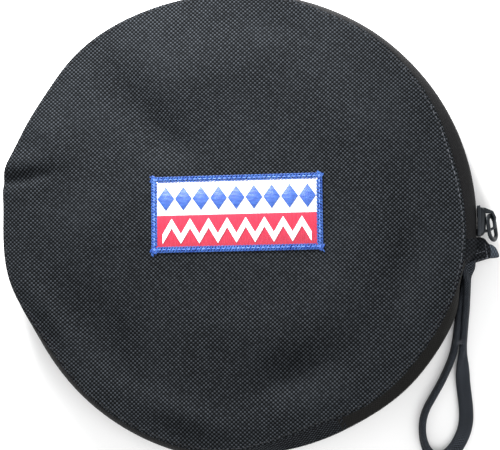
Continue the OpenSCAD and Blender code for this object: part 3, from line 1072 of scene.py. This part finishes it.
# Thread ends stick out at three of the corners.
for x, y, heading, long in (
    (-half_x, -half_y, (-0.1, -1, 0), 2.2), (-half_x, half_y, (-1, 0.2, 0), 1.4),
    (half_x, -half_y, (0.3, -0.8, 0), 1.6),
):
    for i in range(3):
        mid = Vector((x + 0.3 * i * (x < 0), y, 0.3))
        mid += Vector(heading).normalized() * (0.2 + 0.25 * i)
        wraps.append((mid, Vector(heading) + Vector((0.15 * i, 0, 0)), UP, long, 0.5, 0.4))
finish_piece(
    "label_border_overlock", on_label(stitches(wraps, 4, 5)), border_rayon, "cover",
    weave=toned([dice.choice((0.15, 0.5, 0.8, 1.0)) for _ in wraps], 4, 5),
)
finish_piece(
    "label_sewing_thread", on_label(stitches(sewn, 4, 5)), seam_rayon, "cover",
    ["label_stitching"], toned([dice.uniform(0.3, 1) for _ in sewn], 4, 5),
)

# %% The trim on the fields: lozenges above, a zigzag below


def raised(outlines, low, high, round_by):
    """Several flat shapes with rounded upper edges, as one bmesh."""
    bm = bmesh.new()
    for outline in outlines:
        join(bm, slab(outline, low, high, round_by, 2))
    return bm


LOZENGES, LOZENGE_PITCH, LOZENGE_HALF = 9, 7.5, 3.6
LOZENGE_LOW, LOZENGE_TOP = 1.6, 11.7
level = (LOZENGE_LOW + LOZENGE_TOP) / 2
lozenges = [
    ((x, LOZENGE_LOW), (x + LOZENGE_HALF, level), (x, LOZENGE_TOP), (x - LOZENGE_HALF, level))
    for x in (LOZENGE_PITCH * (i - LOZENGES // 2) for i in range(LOZENGES))
]
finish_piece(
    "label_trim_lozenges", on_label(raised(lozenges, 0.3, FIELD_T + 0.3, 0.14)), blue_satin,
    "cover",
)
ZIGZAG_TOP, ZIGZAG_LOW, ZIGZAG_HIGH, ZIGZAG_LONG, TEETH = -1.8, -8.4, 4.1, 63, 8
upper_line = [
    (ZIGZAG_LONG * (i / (2 * TEETH) - 0.5), ZIGZAG_TOP if i % 2 else ZIGZAG_LOW)
    for i in range(2 * TEETH + 1)
]
zigzag = upper_line + [(x, y - ZIGZAG_HIGH) for x, y in reversed(upper_line)]
finish_piece(
    "label_trim_zigzag", on_label(raised([zigzag], 0.3, FIELD_T + 0.3, 0.12)), white_trim,
    "cover",
)

# %% [markdown]
# ## The slider and its puller
# The slider and puller are zinc castings, tumbled smooth and painted a dark blue-grey, which wears
# to bare metal on the edges. The frame's body and bail are right but sharp, so a copy of each is
# merged and every sharp edge is bevelled. The crown over the body is cut from an outline, and the
# puller is a round wire swept into a ring. Worn edges come from the bevel of the normal at a small
# radius.

# %% Painted zinc
zinc, tree, shader = material("painted_zinc_casting", Metallic=0.6)
place = add(tree, "TexCoord").outputs["Object"]
blotch = add(tree, "TexNoise", {"Vector": place, "Scale": 260.0, "Detail": 4.0}).outputs[0]
fine = add(tree, "TexNoise", {"Vector": place, "Scale": 1500.0, "Detail": 2.0}).outputs[0]
paint = add(tree, "MixRGB", {0: blotch, 1: colour("#0D1013"), 2: colour("#20252B")}).outputs[0]
rounding = add(tree, "Bevel", {"Radius": 0.45 * MM}, samples=4).outputs[0]
straight = add(tree, "NewGeometry").outputs["Normal"]
edge = add(tree, "VectorMath", {0: rounding, 1: straight}, operation="DOT_PRODUCT").outputs["Value"]
worn = add(tree, "MapRange", {0: edge, 1: 0.985, 2: 0.9, 3: 0.0, 4: 0.5}).outputs[0]
bare = add(tree, "MixRGB", {0: worn, 1: paint, 2: colour("#565C66")}).outputs[0]
tree.links.new(bare, shader.inputs["Base Color"])
tree.links.new(math_node(tree, "MULTIPLY_ADD", blotch, 0.3, 0.22), shader.inputs["Roughness"])
bump = add(tree, "Bump", {"Height": fine, "Distance": 0.03 * MM, "Strength": 0.4})
tree.links.new(bump.outputs[0], shader.inputs["Normal"])


def casting(name, node, round_by, body):
    """The frame's node with its loose triangles merged and its sharp edges rounded."""
    bm = bmesh.new()
    bm.from_mesh(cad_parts[node].data)
    bmesh.ops.scale(bm, vec=(1000, 1000, 1000), verts=bm.verts[:])
    bmesh.ops.remove_doubles(bm, verts=bm.verts[:], dist=0.005)
    bmesh.ops.dissolve_limit(bm, angle_limit=math.radians(1), verts=bm.verts[:], edges=bm.edges[:])
    sharp = [
        edge for edge in bm.edges
        if len(edge.link_faces) == 2 and edge.calc_face_angle(0) > math.radians(25)
    ]
    bmesh.ops.bevel(
        bm, geom=sharp, offset=round_by, offset_type="OFFSET", segments=3, profile=0.5,
        affect="EDGES", material=-1, clamp_overlap=True,
    )
    return finish_piece(name, bm, zinc, body, [node], sharp=35)


casting("slider_casting", "slider_body", 0.4, "slider")
casting("slider_bail_casting", "slider_bail", 0.35, "slider")
crown_outline = (
    (99.15, -6.2), (101.8, -5.9), (102.8, -4.2), (103.1, 0), (103, 3.2), (102.2, 5.6), (99.15, 6.3),
    (99.35, 0),
)
CROWN_LOW, CROWN_HIGH = 9.8, 14.2
finish_piece(
    "slider_crown_casting", slab(crown_outline, CROWN_LOW, CROWN_HIGH, 1.1, 4), zinc,
    "slider", sharp=50,
)

# %% The puller: a stout ring that hangs in the bail, leaning and a little way out
# The ring is drawn level with the pin at its middle, then leaned and turned, in degrees.
PIN_AT = Vector((104.85, 1.6, 12))
RING_HALF, RING_TOP, RING_LOW = 2.8, 0.65, -9.3
RING_WIDE, RING_THICK, RING_SIDES = 2.0, 1.5, 14
RING_LEAN, RING_TURN = -120, 7.4
ring_arc = []
for degrees in range(0, 181, 15):
    turn = math.radians(degrees)
    ring_arc.append((RING_HALF * math.cos(turn), RING_TOP - RING_HALF + RING_HALF * math.sin(turn)))
ring_arc += [(-x, RING_TOP + RING_LOW - y) for x, y in ring_arc]
ring_seam = (RING_HALF, (RING_TOP + RING_LOW) / 2)
ring_line = [Vector((x, y, 0)) for x, y in (ring_seam, *ring_arc, ring_seam)]
ring_turns = [FULL_TURN * k / RING_SIDES for k in range(RING_SIDES)]
ring_section = [
    (RING_WIDE / 2 * math.cos(turn), RING_THICK / 2 * math.sin(turn)) for turn in ring_turns
]
bm = sweep(ring_line, ring_section, lambda share: 0, closed_ends=False)[0]
bmesh.ops.remove_doubles(bm, verts=bm.verts[:], dist=0.01)
lean = Matrix.Rotation(math.radians(RING_LEAN), 4, "Y")
hang = Matrix.Rotation(math.radians(RING_TURN), 4, "Z") @ lean
bmesh.ops.transform(bm, verts=bm.verts[:], matrix=Matrix.Translation(PIN_AT) @ hang)
finish_piece("puller_casting", bm, zinc, "puller", ["puller"], sharp=60)
